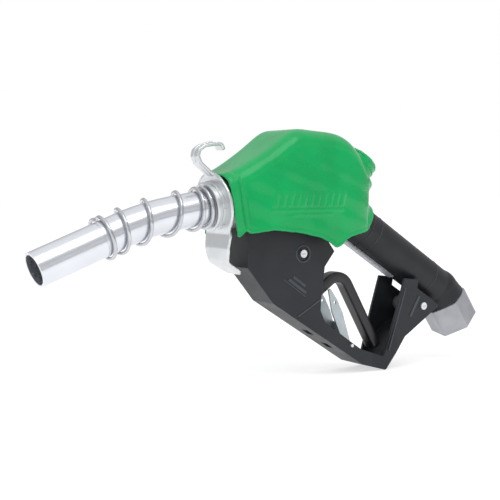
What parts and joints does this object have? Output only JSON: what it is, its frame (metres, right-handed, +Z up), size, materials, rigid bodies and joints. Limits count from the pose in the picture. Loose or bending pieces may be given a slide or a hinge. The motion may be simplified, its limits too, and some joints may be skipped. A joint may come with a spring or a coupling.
{
  "type": "fuel nozzle",
  "caption": "Automatic fuel nozzle: curved metal spout with a wire spring, hooked front plate, moulded boot, guarded squeeze lever with hold-open clip, and threaded hose inlet.",
  "frame": {"origin": "centre of the hose inlet's mouth", "axes": "+X from the spout's tip towards the hose inlet, +Y to the nozzle's side that the picture doesn't show, +Z up with the lever guard below"},
  "size_m": [0.4755, 0.069, 0.2259],
  "materials": {
    "cast_metal": "cast, matt",
    "plated_steel": "bright zinc plated",
    "bright_steel": "turned",
    "spout_metal": "satin tube",
    "spring_wire": "plated wire",
    "black_plastic": "fine moulded",
    "grip_vinyl": "dipped coating",
    "green_vinyl": "glossy moulded boot",
    "clip_metal": "pale stamped",
    "brass": "turned",
    "seal_rubber": "moulded"
  },
  "bodies": {
    "nozzle": {"body_casting": "cast_metal", "handle_sleeve": "black_plastic", "scuff_cover": "green_vinyl", "hand_guard": "black_plastic", "guard_screws": "bright_steel", "hook_plate": "plated_steel", "spout_tube": "spout_metal", "spout_adapter": "cast_metal", "adapter_o_ring": "seal_rubber", "spout_nut": "plated_steel", "spout_spring": "spring_wire", "vacuum_tube": "black_plastic", "check_valve_guide": "brass", "inlet_strainer": "bright_steel", "poppet_cap": "cast_metal", "cap_o_ring": "seal_rubber", "stem_packing": "seal_rubber", "packing_nut": "brass", "diaphragm": "seal_rubber", "diaphragm_cap": "cast_metal", "diaphragm_spring": "spring_wire", "cap_screws": "bright_steel", "clip_pin": "bright_steel", "clip_spring": "spring_wire", "plunger_spring": "spring_wire", "poppet_spring": "spring_wire", "check_valve_spring": "spring_wire"},
    "plunger": {"latch_plunger": "bright_steel", "latch_balls": "bright_steel", "lever_pivot_pin": "bright_steel"},
    "lever": {"lever_arm": "plated_steel", "lever_grip": "grip_vinyl"},
    "main_valve": {"main_stem": "bright_steel", "main_poppet": "brass", "poppet_seal": "seal_rubber", "seal_retainer": "brass"},
    "trip_pin": {"latch_pin": "bright_steel"},
    "check_valve": {"check_valve_poppet": "brass"},
    "clip": {"hold_open_clip": "clip_metal"}
  },
  "joints": [
    {"name": "plunger_drop", "type": "slide", "parent": "nozzle", "child": "plunger", "axis": [-0.1702, 0, -0.9854], "range_m": [0, 0.006], "stiffness_N_per_m": 1500, "springref_m": -0.008, "deforming": ["plunger_spring"]},
    {"name": "lever_squeeze", "type": "hinge", "parent": "plunger", "child": "lever", "pos_m": [-0.23816, 0, 0.06276], "axis": [0, -1, 0], "range_deg": [0, 15]},
    {"name": "main_valve_lift", "type": "slide", "parent": "nozzle", "child": "main_valve", "axis": [0.628, 0, 0.7782], "range_m": [0, 0.00811], "stiffness_N_per_m": 1800, "springref_m": -0.015, "deforming": ["poppet_spring"]},
    {"name": "trip_pin_lift", "type": "slide", "parent": "nozzle", "child": "trip_pin", "axis": [0.1702, 0, 0.9854], "range_m": [0, 0.003], "stiffness_N_per_m": 600, "springref_m": -0.004, "deforming": ["diaphragm_spring", "diaphragm"]},
    {"name": "check_valve_open", "type": "slide", "parent": "nozzle", "child": "check_valve", "axis": [-0.9871, 0, -0.1599], "range_m": [0, 0.004], "stiffness_N_per_m": 300, "springref_m": -0.005, "deforming": ["check_valve_spring"]},
    {"name": "clip_swing", "type": "hinge", "parent": "nozzle", "child": "clip", "pos_m": [-0.14816, 0, -0.00874], "axis": [0, 1, 0], "range_deg": [0, 22], "stiffness_Nm_per_rad": 0.06, "springref_deg": -22.92}
  ],
  "couplings": [
    {"joint": "main_valve_lift", "follows": "lever_squeeze", "m_per_rad": 0.03077}
  ]
}
